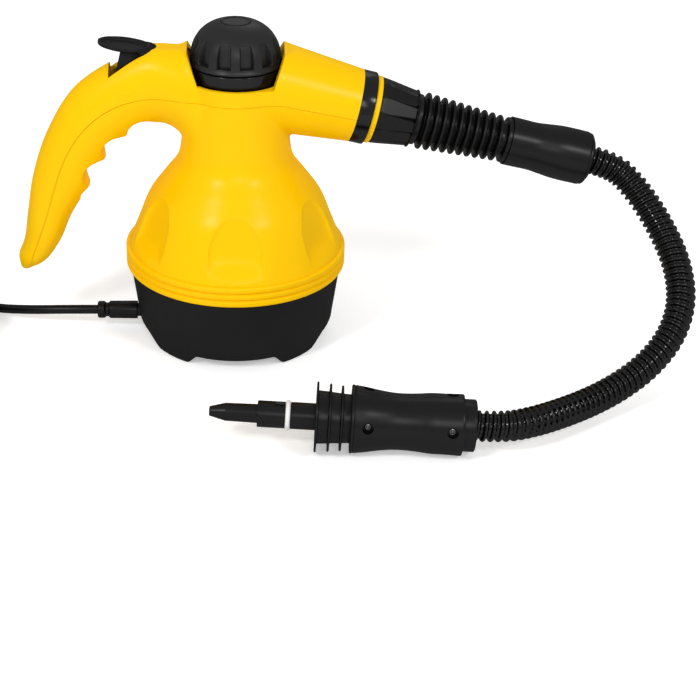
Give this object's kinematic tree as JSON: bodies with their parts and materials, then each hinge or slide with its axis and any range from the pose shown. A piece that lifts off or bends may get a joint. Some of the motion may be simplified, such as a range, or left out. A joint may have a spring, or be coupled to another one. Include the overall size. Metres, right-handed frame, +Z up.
{
  "type": "handheld steam cleaner",
  "caption": "Handheld steam cleaner: round boiler body with loop handle, screw cap and trigger, short ribbed hose with a steam lance handpiece, and a coiled power cord",
  "frame": {"origin": "on the surface that the cleaner stands on, on the axis of the round boiler body", "axes": "+X towards the nozzle, +Y to the left of the nozzle, +Z up along the axis of the body and cap"},
  "size_m": [0.7101, 0.265, 0.2235],
  "materials": {
    "yellow_shell": "smooth moulded plastic, satin gloss",
    "black_shell": "fine grained moulded plastic",
    "black_cap": "satin moulded plastic",
    "black_rubber": "smooth soft plastic",
    "hose_plastic": "glossy ribbed plastic",
    "white_plastic": "smooth",
    "aluminium": "die cast, satin",
    "brass": "turned",
    "steel": "bright zinc",
    "seal": "silicone rubber",
    "clear_tube": "silicone tube"
  },
  "bodies": {
    "base": {"adapter_plug": "black_shell", "base_bowl": "black_shell", "base_screws": "steel", "bend_guard": "black_shell", "boiler_bolts": "steel", "boiler_cup": "aluminium", "boiler_dome": "aluminium", "boiler_gasket": "seal", "cord_clamp": "black_shell", "cord_coil": "black_rubber", "cord_tail": "black_rubber", "cord_tie": "black_rubber", "filler_collar": "black_shell", "filler_neck": "brass", "fin_guard": "black_shell", "handpiece_collar": "black_shell", "handpiece_core": "black_shell", "handpiece_grip": "black_shell", "handpiece_screws": "steel", "heater_clamp": "steel", "heater_coil": "steel", "hose_collar": "black_shell", "hose_grip": "black_shell", "inlet_pipe": "steel", "inner_lead": "black_rubber", "inner_tube": "clear_tube", "lance_ring": "white_plastic", "lower_housing": "yellow_shell", "marker_ring": "yellow_shell", "nozzle_socket": "black_shell", "outlet_pipe": "steel", "plug_body": "black_rubber", "plug_pins": "steel", "power_cord": "black_rubber", "steam_hose": "hose_plastic", "steam_lance": "black_shell", "steam_valve": "brass", "strain_relief": "black_rubber", "terminal_block": "black_shell", "thermal_cutout": "steel", "thermostat": "steel", "trigger_pin": "steel", "trigger_spring": "steel", "upper_housing": "yellow_shell", "valve_spring": "steel"},
    "trigger": {"trigger_lever": "black_shell"},
    "stem": {"valve_stem": "steel"},
    "cap_carrier": {"cap_seal": "seal"},
    "cap": {"cap_shell": "black_cap", "cap_inset": "black_cap", "cap_plug": "black_cap", "relief_spring": "steel"},
    "relief": {"relief_disc": "seal"},
    "sleeve": {"lock_sleeve": "black_shell"}
  },
  "joints": [
    {"name": "trigger_press", "type": "hinge", "parent": "base", "child": "trigger", "pos_m": [-0.06, 0, 0.194], "axis": [0, -1, 0], "range_deg": [0, 10], "stiffness_Nm_per_rad": 0.5},
    {"name": "stem_slide", "type": "slide", "parent": "base", "child": "stem", "axis": [0, 0, -1], "range_m": [0, 0.0024], "deforming": ["valve_spring"]},
    {"name": "cap_rise", "type": "slide", "parent": "base", "child": "cap_carrier", "axis": [0, 0, 1], "range_m": [0, 0.0091]},
    {"name": "cap_turn", "type": "hinge", "parent": "cap_carrier", "child": "cap", "pos_m": [0, 0, 0.196], "axis": [0, 0, 1], "range_deg": [0, 1080]},
    {"name": "relief_lift", "type": "slide", "parent": "cap", "child": "relief", "axis": [0, 0, 1], "range_m": [0, 0.0015], "stiffness_N_per_m": 1500, "deforming": ["relief_spring"]},
    {"name": "sleeve_turn", "type": "hinge", "parent": "base", "child": "sleeve", "pos_m": [0.09208, 0, 0.16404], "axis": [0.9744, 0, -0.225], "range_deg": [0, 30]}
  ],
  "couplings": [
    {"joint": "stem_slide", "follows": "trigger_press", "m_per_rad": 0.013},
    {"joint": "cap_rise", "follows": "cap_turn", "m_per_rad": 0.00047746}
  ]
}
